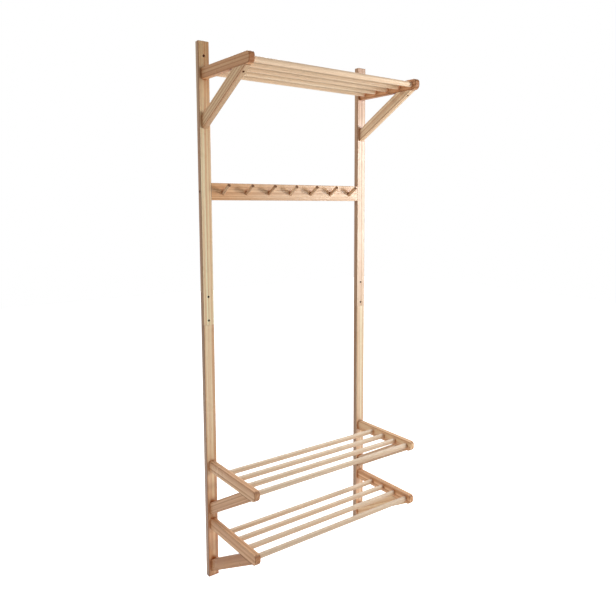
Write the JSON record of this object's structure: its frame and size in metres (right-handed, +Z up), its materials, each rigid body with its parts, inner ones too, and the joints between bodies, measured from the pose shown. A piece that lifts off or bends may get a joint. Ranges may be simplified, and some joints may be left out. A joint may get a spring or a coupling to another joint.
{
  "type": "hall tree",
  "caption": "Wall-fixed wooden hall tree with slim uprights, a rod hat shelf on braced brackets, a rail of slanted coat pegs and rod shoe shelves below.",
  "frame": {"origin": "on the wall plane at the backs of the uprights, midway between the two wall screw holes", "axes": "+X to the right when facing the stand, +Y into the wall, +Z up; the shelves and pegs stand out towards -Y"},
  "size_m": [0.74, 0.337, 1.905],
  "materials": {
    "planed_wood": "light oiled wood, planed and sanded, satin",
    "turned_wood": "light oiled wood, turned and sanded, satin",
    "dark_screw_metal": "dark bronzed steel, satin"
  },
  "bodies": {
    "root": {"brace_screws": "dark_screw_metal", "bracket_screws": "dark_screw_metal", "hat_arm_left": "planed_wood", "hat_arm_right": "planed_wood", "hat_brace_left": "planed_wood", "hat_brace_right": "planed_wood", "hat_rod_1": "turned_wood", "hat_rod_2": "turned_wood", "hat_rod_3": "turned_wood", "hat_rod_4": "turned_wood", "hat_rod_5": "turned_wood", "hook_rail": "planed_wood", "lap_screws": "dark_screw_metal", "peg_1": "turned_wood", "peg_2": "turned_wood", "peg_3": "turned_wood", "peg_4": "turned_wood", "peg_5": "turned_wood", "peg_6": "turned_wood", "peg_7": "turned_wood", "rail_screws": "dark_screw_metal", "shoe_lower_arm_left": "planed_wood", "shoe_lower_arm_right": "planed_wood", "shoe_lower_brace_left": "planed_wood", "shoe_lower_brace_right": "planed_wood", "shoe_lower_rod_1": "turned_wood", "shoe_lower_rod_2": "turned_wood", "shoe_lower_rod_3": "turned_wood", "shoe_lower_rod_4": "turned_wood", "shoe_upper_arm_left": "planed_wood", "shoe_upper_arm_right": "planed_wood", "shoe_upper_brace_left": "planed_wood", "shoe_upper_brace_right": "planed_wood", "shoe_upper_rod_1": "turned_wood", "shoe_upper_rod_2": "turned_wood", "shoe_upper_rod_3": "turned_wood", "shoe_upper_rod_4": "turned_wood", "upright_lower_left": "planed_wood", "upright_lower_right": "planed_wood", "upright_upper_left": "planed_wood", "upright_upper_right": "planed_wood"}
  },
  "joints": []
}
